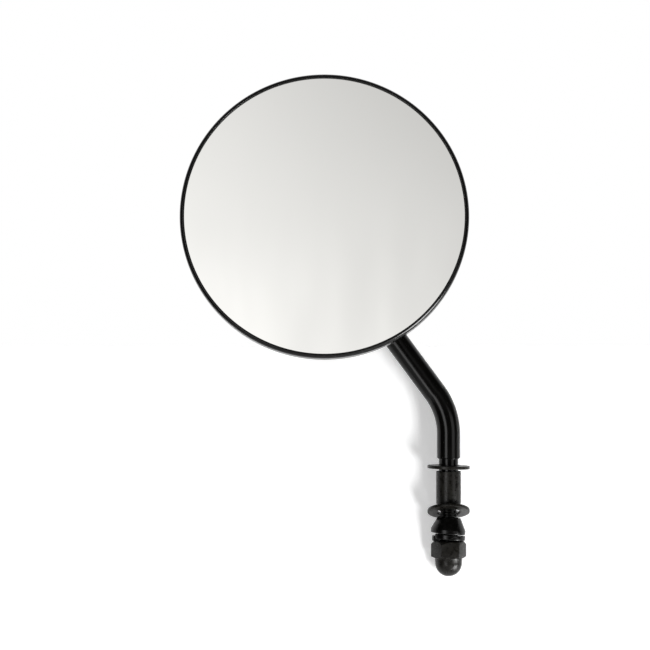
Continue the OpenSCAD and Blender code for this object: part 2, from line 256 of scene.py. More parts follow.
def dust_group():
    """Sparse fine specks, as of dust on a clean face."""
    group, entry, leave = group_sockets(
        "dust_specks",
        [
            ("Vector", "NodeSocketVector", None),
            ("Spread", "NodeSocketFloat", 60.0),
            ("Share", "NodeSocketFloat", 0.1),
            ("Size", "NodeSocketFloat", 0.02),
        ],
        [("Mask", "NodeSocketFloat")],
    )
    cells = group.nodes.new("ShaderNodeTexVoronoi")
    group.links.new(entry.outputs["Vector"], cells.inputs["Vector"])
    group.links.new(entry.outputs["Spread"], cells.inputs["Scale"])
    split = group.nodes.new("ShaderNodeSeparateColor")
    group.links.new(cells.outputs["Color"], split.inputs["Color"])
    chosen = maths(group, "LESS_THAN", split.outputs[0], entry.outputs["Share"])
    near = maths(group, "LESS_THAN", cells.outputs["Distance"], entry.outputs["Size"])
    group.links.new(maths(group, "MULTIPLY", chosen, near), leave.inputs["Mask"])


def use_group(tree, name, place, values):
    """Node of a shader group that gets the coordinates; the values are set by label."""
    node = tree.nodes.new("ShaderNodeGroup")
    node.node_tree = bpy.data.node_groups[name]
    tree.links.new(place, node.inputs["Vector"])
    for label, value in values.items():
        node.inputs[label].default_value = value
    return node


def mix_shaders(tree, mask, first, second, out):
    """Output that goes from the first shader node to the second by the mask."""
    node = tree.nodes.new("ShaderNodeMixShader")
    tree.links.new(mask, node.inputs["Fac"])
    tree.links.new(first.outputs[0], node.inputs[1])
    tree.links.new(second.outputs[0], node.inputs[2])
    tree.links.new(node.outputs[0], out.inputs["Surface"])


def start_material(name):
    """Empty node material with a shader, and its piece's own coordinates."""
    material = bpy.data.materials.new(name)
    material.use_nodes = True
    tree = material.node_tree
    tree.nodes.clear()
    out = tree.nodes.new("ShaderNodeOutputMaterial")
    shader = tree.nodes.new("ShaderNodeBsdfPrincipled")
    tree.links.new(shader.outputs["BSDF"], out.inputs["Surface"])
    place = tree.nodes.new("ShaderNodeTexCoord")
    return tree, shader, place.outputs["Object"]


def coat(name, deep, pale, patch, grain, height, smooth, dull, **sockets):
    """Material from the mottled coat. Lengths in metres; sockets are set on the shader."""
    tree, shader, place = start_material(name)
    effect = use_group(
        tree, "mottled_coat", place,
        {
            "Deep colour": (*deep, 1), "Pale colour": (*pale, 1),
            "Patch scale": 1 / patch, "Grain scale": 1 / grain, "Grain height": height,
            "Smooth roughness": smooth, "Dull roughness": dull,
        },
    )
    tree.links.new(effect.outputs["Colour"], shader.inputs["Base Color"])
    tree.links.new(effect.outputs["Roughness"], shader.inputs["Roughness"])
    tree.links.new(effect.outputs["Normal"], shader.inputs["Normal"])
    for label, value in sockets.items():
        shader.inputs[label.replace("_", " ")].default_value = value


def silvered_glass():
    """Mirror glass with a faint haze and a few specks of dust."""
    tree, shader, place = start_material("silvered_glass")
    tint = bpy.context.scene.mirror_glass.tint
    haze_share = 0.985
    haze = remap(tree, noise(tree, place, scale=14.0, detail=2.0), 0.3, 0.7)
    shade = blend_colours(tree, haze, (*tint, 1), (*[haze_share * c for c in tint], 1))
    specks = use_group(
        tree, "dust_specks", place, {"Spread": 70.0, "Share": 0.08, "Size": 0.018}
    )
    dust_grey = (0.4, 0.39, 0.37, 1)
    dusty = blend_colours(tree, specks.outputs["Mask"], shade, dust_grey)
    tree.links.new(dusty, shader.inputs["Base Color"])
    smooth, dull = 0.015, 0.035
    smears = remap(tree, noise(tree, place, scale=30.0), 0.35, 0.75, smooth, dull)
    tree.links.new(smears, shader.inputs["Roughness"])
    shader.inputs["Metallic"].default_value = 1.0


def make_materials():
    """All the mirror's materials, by name."""
    mottled_coat_group()
    dust_group()
    paint = bpy.context.scene.mirror_paint
    coat(
        "satin_black_paint", [0.6 * c for c in paint.satin], paint.satin,
        patch=0.012, grain=0.0014, height=0.000001, smooth=0.15, dull=0.2,
        Specular_IOR_Level=0.2,
    )
    coat(
        "rough_black_oxide", [0.35 * c for c in paint.oxide], paint.oxide,
        patch=0.0016, grain=0.00045, height=0.000012, smooth=0.22, dull=0.4,
        Specular_IOR_Level=0.18,
    )
    coat(
        "smooth_black_oxide", [0.5 * c for c in paint.satin], paint.satin,
        patch=0.0016, grain=0.0006, height=0.000004, smooth=0.16, dull=0.28,
        Specular_IOR_Level=0.2,
    )
    coat(
        "black_rubber", (0.006, 0.006, 0.006), (0.012, 0.012, 0.012),
        patch=0.004, grain=0.0004, height=0.00001, smooth=0.5, dull=0.65,
        Specular_IOR_Level=0.4,
    )
    coat(
        "grey_foam", (0.03, 0.03, 0.032), (0.07, 0.07, 0.072),
        patch=0.003, grain=0.0006, height=0.00012, smooth=0.85, dull=0.95,
        Specular_IOR_Level=0.2,
    )
    coat(
        "black_acetal", (0.012, 0.012, 0.013), (0.02, 0.02, 0.021),
        patch=0.005, grain=0.0008, height=0.000006, smooth=0.3, dull=0.42,
        Specular_IOR_Level=0.5,
    )
    coat(
        "spring_steel", (0.38, 0.39, 0.41), (0.55, 0.56, 0.57),
        patch=0.004, grain=0.0003, height=0.000008, smooth=0.25, dull=0.4,
        Metallic=1.0,
    )
    silvered_glass()


def finish_of(name):
    """The material of that name, made at the first call."""
    if name not in bpy.data.materials:
        make_materials()
    return bpy.data.materials[name]


# Sizes and colours that a user would change


def in_mm(name, description, millimetres):
    """Property for a length, given in millimetres."""
    return FloatProperty(
        name=name, description=description, default=millimetres * MM, unit="LENGTH"
    )


def in_degrees(name, description, degrees):
    """Property for an angle, given in degrees."""
    return FloatProperty(
        name=name, description=description, default=math.radians(degrees), subtype="ANGLE"
    )


class HeadSizes(bpy.types.PropertyGroup):
    """Sizes of the round head."""

    rim_diameter: in_mm("Rim diameter", "Outer diameter of the shell", 114.58)
    sheet: in_mm("Sheet", "Thickness of the shell's sheet", 0.9)
    wall_depth: in_mm("Wall depth", "Depth of the straight side wall", 4.9)
    corner_radius: in_mm("Corner radius", "Outer radius between the wall and the dome", 9)
    dome_depth: in_mm("Dome depth", "Depth of the dome's crown behind the lip", 22.5)
    lip_width: in_mm("Lip width", "Width of the rolled lip", 1.48)
    lip_thickness: in_mm("Lip thickness", "Thickness of the rolled lip", 0.65)
    glass_thickness: in_mm("Glass thickness", "Thickness of the glass", 2.5)
    gasket_side: in_mm("Gasket side", "Width of the rubber ring round the glass", 0.5)
    gasket_front: in_mm("Gasket front", "Thickness of the rubber ring's flange", 0.4)
    gasket_show: in_mm("Gasket show", "How far the rubber shows inside the lip", 0.3)
    seat_gap: in_mm("Seat gap", "Play between the pieces that lie in the shell", 0.02)
    set_back: in_mm("Ball set back", "Distance of the ball's centre behind the lip", 19)
    hub_radius: in_mm("Hub radius", "Outer radius of the ball hub", 9.45)
    hole_angle: in_degrees(
        "Hole angle", "Half angle of the hub's hole, seen from the ball's centre", 50
    )
    lean: in_degrees("Lean", "Lean of the face from upright", 9.1)
    ball_centre: FloatVectorProperty(
        name="Ball centre", description="Centre of the ball joint",
        default=(-51.0027 * MM, -22.0134 * MM, 95.5487 * MM), subtype="TRANSLATION",
    )


class StemSizes(bpy.types.PropertyGroup):
    """Sizes of the bent stem."""

    rod_radius: in_mm("Rod radius", "Radius of the rod", 4.7625)
    lower_length: in_mm("Lower length", "Straight length above the shoulder", 10)
    lower_bend_radius: in_mm("Lower bend radius", "Radius of the lower bend", 29)
    lower_bend: in_degrees("Lower bend", "Angle of the lower bend", 36.5)
    upper_length: in_mm("Upper length", "Straight length between the bends", 68.9)
    upper_bend_radius: in_mm("Upper bend radius", "Radius of the upper bend", 12)
    upper_bend: in_degrees("Upper bend", "Angle of the upper bend", 85)
    bend_twist: in_degrees("Bend twist", "Turn of the upper bend's plane about the rod", 10.8)
    stud_radius: in_mm("Stud radius", "Outer radius of the thread", 3.97)
    stud_length: in_mm("Stud length", "Length of the stud below the shoulder", 39.866)
    pitch: in_mm("Pitch", "Pitch of the stud's thread", 1.4111)
    thread_depth: in_mm("Thread depth", "Depth of the thread", 0.72)
    thread_end: in_mm("Thread end", "Height at which the thread runs out", -8)
    stud_chamfer: in_mm("Stud chamfer", "Chamfer at the stud's tip", 0.8)
    shoulder_round: in_mm("Shoulder round", "Rounding of the shoulder", 0.35)
    past_bend: in_mm("Past the bend", "Full rod between the upper bend and the cone", 0.5)
    neck_cone: in_mm("Neck cone", "Length of the cone between the rod and the neck", 1.6)
    neck_length: in_mm("Neck length", "Distance of the ball's centre from the full rod", 11)
    neck_radius: in_mm("Neck radius", "Radius of the neck", 3)
    ball_radius: in_mm("Ball radius", "Radius of the ball", 7.5)


class HardwareSizes(bpy.types.PropertyGroup):
    """Sizes of the pieces on the stud."""

    washer_radius: in_mm("Washer radius", "Outer radius of both flat washers", 8.7)
    washer_thickness: in_mm("Washer thickness", "Thickness of both flat washers", 1.35)
    upper_height: in_mm("Upper washer height", "Height of the upper washer's middle", -3.475)
    lower_height: in_mm("Lower washer height", "Height of the lower washer's middle", -21.504)
    upper_bore: in_mm("Upper washer bore", "Radius of the upper washer's hole", 4.4)
    lower_bore: in_mm("Lower washer bore", "Radius of the lower washer's hole", 4.8)
    upper_lean: in_degrees("Upper washer lean", "Lean of the upper washer to the right", 1.5)
    lower_lean: in_degrees("Lower washer lean", "Lean of the lower washer to the front", -21.5)
    sleeve_foot: in_mm("Sleeve foot", "Height of the sleeve's foot", -18.65)
    sleeve_length: in_mm("Sleeve length", "Length of the sleeve", 13.5)
    sleeve_radius: in_mm("Sleeve radius", "Outer radius of the sleeve", 5.1)
    sleeve_bore: in_mm("Sleeve bore", "Radius of the sleeve's bore", 4.2)
    cone_top: in_mm("Cone top", "Height of the cone's top", -24.2666)
    cone_height: in_mm("Cone height", "Height of the cone", 6.5)
    cone_slope: in_mm("Cone slope", "Height of its sloping part", 4.9)
    cone_bore: in_mm("Cone bore", "Radius of the cone's bore", 4.4)
    cone_top_radius: in_mm("Cone top radius", "Radius at the top", 4.75)
    cone_foot_radius: in_mm("Cone foot radius", "Radius at the foot", 7.15)
    cone_lean: in_degrees("Cone lean", "Lean of the cone to the right", 5)
    split_height: in_mm("Split washer height", "Height of the split washer's middle", -32.479)
    split_angle: in_degrees("Split angle", "Turn of the split from the front to the left", 62)
    split_lean: in_degrees("Split washer lean", "Lean of the split washer to the right", 3.5)
    split_bore: in_mm("Split washer bore", "Radius of the split washer's bore", 4.2)
    split_radius: in_mm("Split washer radius", "Outer radius of the split washer", 6.85)
    split_thickness: in_mm("Split washer thickness", "Thickness of its wire", 2)
    split_rise: in_mm("Split rise", "Height between its two ends", 1.2)
    split_gap: in_mm("Split gap", "Width of the split at the outside", 1.2)
    nut_top: in_mm("Nut top", "Height of the nut's seat", -33.8664)
    nut_flats: in_mm("Nut flats", "Width of the nut across its flats", 12.7)
    nut_angle: in_degrees("Nut angle", "Turn of the hexagon about the stud", 4)
    hexagon_height: in_mm("Hexagon height", "Height of the nut's hexagon", 6.9)
    dome_radius: in_mm("Dome radius", "Radius of the nut's dome", 5.5)
    collar_radius: in_mm("Collar radius", "Radius of the collar below the hexagon", 5.65)
    collar_height: in_mm("Collar height", "Height of the collar", 2.1)
    nut_bore: in_mm("Nut bore", "Radius of the nut's bore", 4.03)
    nut_mouth: in_mm("Nut mouth", "Chamfer at the bore's mouth", 0.5)
    upper_chamfer: in_degrees("Upper chamfer", "Slope of the hexagon's upper chamfer", 48)
    lower_chamfer: in_degrees("Lower chamfer", "Slope of the hexagon's lower chamfer", 28)


class PaintLook(bpy.types.PropertyGroup):
    """Colours of the black coats."""

    satin: FloatVectorProperty(
        name="Satin black", description="Colour of the paint on the shell and the stem",
        default=(0.0026, 0.0024, 0.0021), subtype="COLOR",
    )
    oxide: FloatVectorProperty(
        name="Black oxide", description="Pale patches of the coat on the washers and the nut",
        default=(0.0125, 0.0115, 0.0092), subtype="COLOR",
    )


class GlassLook(bpy.types.PropertyGroup):
    """Look of the mirror glass."""

    tint: FloatVectorProperty(
        name="Tint", description="Colour of the silvered glass",
        default=(0.952, 0.945, 0.915), subtype="COLOR",
    )


class StudioLook(bpy.types.PropertyGroup):
    """Camera, lamps and backdrop."""

    focal_length: FloatProperty(
        name="Focal length", description="Focal length of the camera in millimetres",
        default=141.62, min=20,
    )
    camera_place: FloatVectorProperty(
        name="Camera place", description="Where the camera stands",
        default=(-50.78 * MM, -1051 * MM, 54.87 * MM), subtype="TRANSLATION",
    )
    board_gap: in_mm("Board gap", "Distance of the backdrop behind the stem's shoulder", 11.8)
    board_slope: FloatProperty(
        name="Board slope", description="How far the backdrop leans back for its height",
        default=0.14,
    )
    board_top: in_mm("Board top", "Height of the backdrop's upper edge", 46)
    floor_height: in_mm("Floor height", "Height of the floor", -800)
    key_power: FloatProperty(
        name="Key power", description="Power of the soft lamp at the right, in watts", default=12.5
    )
    paper_lift: FloatProperty(
        name="Paper lift", description="Light that the backdrop adds where it is seen", default=0.44
    )


# Operators, one for each piece or group


def head_place():
    """From the head's own frame, +Z to the front, to the part's frame."""
    head = bpy.context.scene.mirror_head
    return Matrix.Translation(head.ball_centre) @ Matrix.Rotation(math.pi / 2 - head.lean, 4, "X")


class MIRROR_OT_shell(bpy.types.Operator):
    """Stamped shell with its rolled lip and ball hub"""

    bl_idname = "mirror.shell"
    bl_label = "Shell"

    def execute(self, context):
        head = context.scene.mirror_head
        rim = head.rim_diameter / 2
        front = head.set_back
        corner = head.corner_radius
        sheet = head.sheet
        corner_c = (rim - corner, front - head.wall_depth)
        crown = front - head.dome_depth
        sweep = 90 - 2 * math.degrees(math.atan((corner_c[1] - corner - crown) / corner_c[0]))
        dome_z = corner_c[1] + corner_c[0] * math.tan(math.radians(sweep))
        dome_r = corner + corner_c[0] / math.cos(math.radians(sweep))
        inner_hub = head.hub_radius - sheet
        hole = math.degrees(head.hole_angle) - 90

        def meet(hub, dome):
            z = (dome_z**2 + hub**2 - dome**2) / (2 * dome_z)
            return (math.sqrt(hub**2 - z**2), z)

        outer, inner = meet(head.hub_radius, dome_r), meet(inner_hub, dome_r - sheet)
        outer_dome = math.degrees(math.atan2(outer[1] - dome_z, outer[0]))
        inner_dome = math.degrees(math.atan2(inner[1] - dome_z, inner[0]))
        outer_hub = math.degrees(math.atan2(outer[1], outer[0]))
        inner_hub_a = math.degrees(math.atan2(inner[1], inner[0]))
        # The lip is a tight nose that runs on into a wide roll down to the side wall.
        nose = head.lip_thickness / 2
        nose_end = 60
        share = math.cos(math.radians(nose_end))
        roll = (head.lip_width - nose * (1 + share)) / (1 - share)
        roll_c = (rim - roll, front - nose - (roll - nose) * math.sin(math.radians(nose_end)))
        # Its inner edge is cut square and eased.
        inside = rim - head.lip_width
        soft = 0.1 * MM
        outline = (
            arc((inside + soft, front - head.lip_thickness + soft), soft, 270, 180, 4)
            + arc((inside + soft, front - soft), soft, 180, 90, 6)
            + arc((inside + nose, front - nose), nose, 90, nose_end, 8)
            + arc(roll_c, roll, nose_end, 0, 20)[1:]
            + arc(corner_c, corner, 0, -sweep, 26)[:-1]
            + arc((0, dome_z), dome_r, -sweep, outer_dome, 34)[:-1]
            + arc((0, 0), head.hub_radius, outer_hub, hole + 1, 9)
            + arc((0, 0), inner_hub, hole, inner_hub_a, 8)[:-1]
            + arc((0, dome_z), dome_r - sheet, inner_dome, -sweep, 30)[:-1]
            + arc(corner_c, corner - sheet, -sweep, 0, 16)
            + [(rim - sheet, front - head.lip_thickness)]
        )
        mesh = turned("shell_dish", outline, HEAD_SIDES)
        piece(
            "shell_dish", mesh, "head", ["shell"],
            "satin_black_paint", head_place(),
        )
        return {"FINISHED"}


class MIRROR_OT_glass(bpy.types.Operator):
    """Silvered glass and the rubber ring round it"""

    bl_idname = "mirror.glass"
    bl_label = "Glass"

    def execute(self, context):
        head = context.scene.mirror_head
        rim = head.rim_diameter / 2
        gap = head.seat_gap
        under = head.set_back - head.lip_thickness
        front = under - head.gasket_front
        back = front - head.glass_thickness
        outer = rim - head.sheet - gap
        inner = outer - head.gasket_side
        edge = rim - head.lip_width - head.gasket_show
        soft = head.gasket_front / 3
        flange = (
            [(edge, front + gap)]
            + arc((edge + soft, under - gap - soft), soft, 180, 90, 6)
            + [(outer, under - gap), (outer, back), (inner, back), (inner, front + gap)]
        )
        piece(
            "rubber_ring", turned("rubber_ring", flange, HEAD_SIDES), "head", ["glass_gasket"],
            "black_rubber", head_place(),
        )
        reach = inner - gap
        ground = 0.3 * MM
        disc = [
            (0, back), (reach - ground, back), (reach, back + ground),
            (reach, front - ground), (reach - ground, front), (0, front),
        ]
        piece(
            "mirror_disc", turned("mirror_disc", disc, HEAD_SIDES, loop=False), "head", ["glass"],
            "silvered_glass", head_place(),
        )
        return {"FINISHED"}


class MIRROR_OT_ball_joint(bpy.types.Operator):
    """Foam, springs, cap and seats inside the shell"""

    bl_idname = "mirror.ball_joint"
    bl_label = "Ball joint"

    def execute(self, context):
        coat_node("backing_pad", "grey_foam")
        for node in ("spring_cap", "rear_disc_spring", "front_disc_spring"):
            coat_node(node, "spring_steel")
        for node in ("ball_cup", "seat_ring"):
            coat_node(node, "black_acetal")
        return {"FINISHED"}


class MIRROR_OT_stem(bpy.types.Operator):
    """Bent rod with its threaded stud, neck and ball"""

    bl_idname = "mirror.stem"
    bl_label = "Stem"

    def execute(self, context):
        stem = context.scene.mirror_stem
        count = 64
        rod = stem.rod_radius
        rings = self.stud_rings(stem, count)

        # spot is the place and direction reached along the rod.
        spot = Matrix.Identity(4)

        def ring(radius, at):
            return [tuple(at @ Vector(p)) for p in circle(radius, 0, count)]

        chamfer = stem.shoulder_round
        rings.append(ring(rod - chamfer, spot))
        for k in range(1, 5):
            a = math.radians(90 * k / 4)
            rise = chamfer * math.sin(a)
            rings.append(
                ring(rod - chamfer * math.cos(a), spot @ Matrix.Translation((0, 0, rise)))
            )
        spot = Matrix.Translation((0, 0, stem.lower_length))
        rings.append(ring(rod, spot))

        def bend(radius, angle, axis, toward, steps):
            start = spot.copy()
            pivot = Vector(toward) * radius
            for i in range(1, steps + 1):
                turn = Matrix.Rotation(angle * i / steps, 4, axis)
                at = start @ Matrix.Translation(pivot) @ turn @ Matrix.Translation(-pivot)
                rings.append(ring(rod, at))
            return at

        spot = bend(stem.lower_bend_radius, -stem.lower_bend, "Y", (-1, 0, 0), steps=24)
        spot = spot @ Matrix.Translation((0, 0, stem.upper_length))
        spot = spot @ Matrix.Rotation(stem.bend_twist, 4, "Z")
        rings.append(ring(rod, spot))
        spot = bend(stem.upper_bend_radius, stem.upper_bend, "X", (0, -1, 0), steps=40)
        neck, ball = stem.neck_radius, stem.ball_radius
        rings.append(ring(rod, spot @ Matrix.Translation((0, 0, stem.past_bend))))
        cone_end = stem.past_bend + stem.neck_cone
        rings.append(ring(neck, spot @ Matrix.Translation((0, 0, cone_end))))
        centre = stem.past_bend + stem.neck_length
        start = math.asin(neck / ball)
        steps = 32
        for i in range(steps + 1):
            a = start + (math.pi - start) * i / steps
            at = spot @ Matrix.Translation((0, 0, centre - ball * math.cos(a)))
            rings.append([tuple(at @ Vector(p)) for p in circle(ball * math.sin(a), 0, count)])
        mesh = skin("stem_bar", rings, sharp=38)
        piece("stem_bar", mesh, "stem", ["stem"], "satin_black_paint")
        return {"FINISHED"}

    def stud_rings(self, stem, count):
        """Rings of the stud from its tip up to the shoulder, with the thread cut in."""
        rings = [[(0, 0, -stem.stud_length)]]
        smooth_from = stem.thread_end
        root = stem.stud_radius - stem.thread_depth
        rows_per_turn = 14
        # The flank's height; a top over 1 leaves a flat crest.
        flank_top, flank_slope = 1.25, 3.0
        row = stem.pitch / rows_per_turn
        z = -stem.stud_length
        first = True
        while z < smooth_from:
            ring = []
            for i in range(count):
                a = TURN * i / count
                # Height of the thread's flank at this angle: 0 at the root, 1 at the crest
                share = (z / stem.pitch - i / count) % 1.0
                flank = min(1.0, max(0.0, flank_top - abs(share - 0.5) * flank_slope))
                radius = root + (stem.stud_radius - root) * flank
                ends = min(1.0, max(0.0, (smooth_from - z) / stem.pitch))
                radius = stem.stud_radius + (radius - stem.stud_radius) * ends
                tip = stem.stud_radius - stem.stud_chamfer + (z + stem.stud_length)
                radius = min(radius, tip)
                ring.append((radius * math.cos(a), radius * math.sin(a), z))
            if first:
                rings.append([(0.5 * x, 0.5 * y, h) for x, y, h in ring])
                first = False
            rings.append(ring)
            z += row
        rings.append(circle(stem.stud_radius, smooth_from, count))
        rings.append(circle(stem.stud_radius, -0.4 * MM, count))
        rings.append(circle(stem.stud_radius, 0, count))
        return rings


class MIRROR_OT_flat_washers(bpy.types.Operator):
    """Upper and lower flat washers"""

    bl_idname = "mirror.flat_washers"
    bl_label = "Flat washers"

    def execute(self, context):
        sizes = context.scene.mirror_hardware
        half = sizes.washer_thickness / 2
        outer = sizes.washer_radius
        places = (
            (
                "upper_flat_washer", "upper_washer",
                sizes.upper_bore, sizes.upper_height, sizes.upper_lean, "Y",
            ),
            (
                "lower_flat_washer", "lower_washer",
                sizes.lower_bore, sizes.lower_height, sizes.lower_lean, "X",
            ),
        )
        for name, node, bore, height, lean, axis in places:
            outline = rounded(
                [
                    (bore, -half, 0.2 * MM), (outer, -half, 0.22 * MM),
                    (outer, half, 0.35 * MM), (bore, half, 0.2 * MM),
                ]
            )
            mesh = turned(name, outline, count=160)
            place = Matrix.Translation((0, 0, height)) @ Matrix.Rotation(lean, 4, axis)
            piece(
                name, mesh, "clamp_stack", [node],
                "rough_black_oxide", place,
            )
        return {"FINISHED"}


class MIRROR_OT_sleeve(bpy.types.Operator):
    """Spacer sleeve on the stud"""

    bl_idname = "mirror.sleeve"
    bl_label = "Sleeve"

    def execute(self, context):
        sizes = context.scene.mirror_hardware
        foot, head = sizes.sleeve_foot, sizes.sleeve_foot + sizes.sleeve_length
        bore, outer = sizes.sleeve_bore, sizes.sleeve_radius
        outline = rounded(
            [
                (bore, foot, 0.15 * MM), (outer, foot, 0.25 * MM),
                (outer, head, 0.25 * MM), (bore, head, 0.15 * MM),
            ]
        )
        mesh = turned("sleeve_tube", outline, count=128)
        piece(
            "sleeve_tube", mesh, "clamp_stack", ["spacer_sleeve"],
            "rough_black_oxide",
        )
        return {"FINISHED"}


class MIRROR_OT_cone(bpy.types.Operator):
    """Conical collar below the lower washer"""

    bl_idname = "mirror.cone"
    bl_label = "Cone"

    def execute(self, context):
        sizes = context.scene.mirror_hardware
        half, slope = sizes.cone_height / 2, sizes.cone_slope
        bore, top, foot = sizes.cone_bore, sizes.cone_top_radius, sizes.cone_foot_radius
        outline = rounded(
            [
                (bore, half, 0), (top, half, 0.12 * MM), (foot, half - slope, 0.3 * MM),
                (foot, -half, 0.3 * MM), (bore, -half, 0.2 * MM),
            ]
        )
        mesh = turned("cone_collar", outline)
        place = Matrix.Translation((0, 0, sizes.cone_top - half))
        place = place @ Matrix.Rotation(sizes.cone_lean, 4, "Y")
        piece(
            "cone_collar", mesh, "clamp_stack", ["cone_spacer"],
            "smooth_black_oxide", place,
        )
        return {"FINISHED"}


class MIRROR_OT_split_washer(bpy.types.Operator):
    """Split spring washer: one open turn of a square wire"""

    bl_idname = "mirror.split_washer"
    bl_label = "Split washer"

    def execute(self, context):
        sizes = context.scene.mirror_hardware
        bore, outer = sizes.split_bore, sizes.split_radius
        thick, rise = sizes.split_thickness, sizes.split_rise
        half = (thick + rise) / 2
        section = rounded(
            [
                (bore, -half, 0.15 * MM), (outer, -half, 0.28 * MM),
                (outer, thick - half, 0.28 * MM), (bore, thick - half, 0.15 * MM),
            ],
            4,
        )
        opening = 2 * math.asin(sizes.split_gap / (2 * outer))
        start = 1.5 * math.pi - sizes.split_angle + opening / 2
        steps = 120
        rings = []
        for i in range(steps + 1):
            a = start + (TURN - opening) * i / steps
            lift = rise * (1 - i / steps)
            rings.append([(r * math.cos(a), r * math.sin(a), lift + z) for r, z in section])
        mesh = skin("split_ring", rings, capped=True)
        place = Matrix.Translation((0, 0, sizes.split_height))
        place = place @ Matrix.Rotation(sizes.split_lean, 4, "Y")
        piece(
            "split_ring", mesh, "clamp_stack", ["lock_washer"],
            "smooth_black_oxide", place,
        )
        return {"FINISHED"}


class MIRROR_OT_acorn_nut(bpy.types.Operator):
    """Domed hexagon nut"""

    bl_idname = "mirror.acorn_nut"
    bl_label = "Acorn nut"

    def execute(self, context):
        sizes = context.scene.mirror_hardware
        half = sizes.nut_flats / 2
        rounding = 0.35 * MM
        tangent = 30 - math.degrees(
            math.atan((half - rounding) * math.tan(math.radians(30)) / half)
        )
        # Angles from a corner, in degrees: close together on its rounding, wider on the face
        on_rounding = {tangent * share for share in (0, 0.3, 0.65, 1.0)}
        on_face = {tangent + away for away in (1.5, 2.5, 5, 9, 14, 20, 25)}
        offsets = [d for d in sorted(on_rounding | on_face | {30}) if d <= 30]
        angles = []
        for corner in range(6):
            base = 60 * corner
            angles += [base - d for d in reversed(offsets) if 0 < d < 30]
            angles += [base + d for d in offsets]
        centre = (half - rounding) / math.cos(math.radians(30))

        def hexagon(angle):
            away = abs((angle + 30) % 60 - 30)
            a = math.radians(away)
            if away <= tangent:
                return centre * math.cos(a) + math.sqrt(
                    max(0.0, rounding**2 - (centre * math.sin(a)) ** 2)
                )
            return half / math.cos(math.radians(30 - away))

        top, foot = sizes.nut_top, sizes.nut_top - sizes.hexagon_height
        face, ease = half - 0.2 * MM, 0.12 * MM
        fillet, fillet_middle = 0.25 * MM, 0.07 * MM
        upper_slope, lower_slope = math.tan(sizes.upper_chamfer), math.tan(sizes.lower_chamfer)
        bore, mouth, dome = sizes.nut_bore, sizes.nut_mouth, sizes.dome_radius
        collar, collar_height = sizes.collar_radius, sizes.collar_height
        depth = sizes.hexagon_height + collar_height + dome / 2
        turn = sizes.nut_angle

        def ring(radius, z):
            out = []
            for angle in angles:
                r = radius(angle) if callable(radius) else radius
                h = z(angle) if callable(z) else z
                a = math.radians(angle) + turn
                out.append((r * math.cos(a), r * math.sin(a), h))
            return out

        def fall(angle):
            return (hexagon(angle) - face) * upper_slope

        def rise(angle):
            return (hexagon(angle) - face) * lower_slope

        rings = [
            [(0, 0, top - depth)],
            ring(bore * 0.5, top - depth),
            ring(bore, top - depth),
            ring(bore, top - mouth),
            ring(bore + mouth, top),
            ring(face - ease, top),
            ring(face, top - ease * 0.3),
            ring(lambda a: hexagon(a) - ease * 0.4, lambda a: top - fall(a) + ease * 0.1),
            ring(hexagon, lambda a: top - fall(a) - ease),
            ring(hexagon, lambda a: foot + rise(a) + ease),
            ring(lambda a: hexagon(a) - ease * 0.4, lambda a: foot + rise(a) - ease * 0.1),
            ring(face, foot + ease * 0.3),
            ring(face - ease, foot),
            ring(collar + fillet, foot),
            ring(collar + fillet_middle, foot - fillet_middle),
            ring(collar, foot - fillet),
            ring(dome, foot - collar_height),
        ]
        steps = 24
        for i in range(1, steps + 1):
            a = math.radians(90 * i / steps)
            z = foot - collar_height - dome * math.sin(a)
            rings.append([(0, 0, z)] if i == steps else ring(dome * math.cos(a), z))
        mesh = skin("dome_nut", rings, sharp=25)
        piece("dome_nut", mesh, "nut", ["acorn_nut"], "rough_black_oxide")
        return {"FINISHED"}


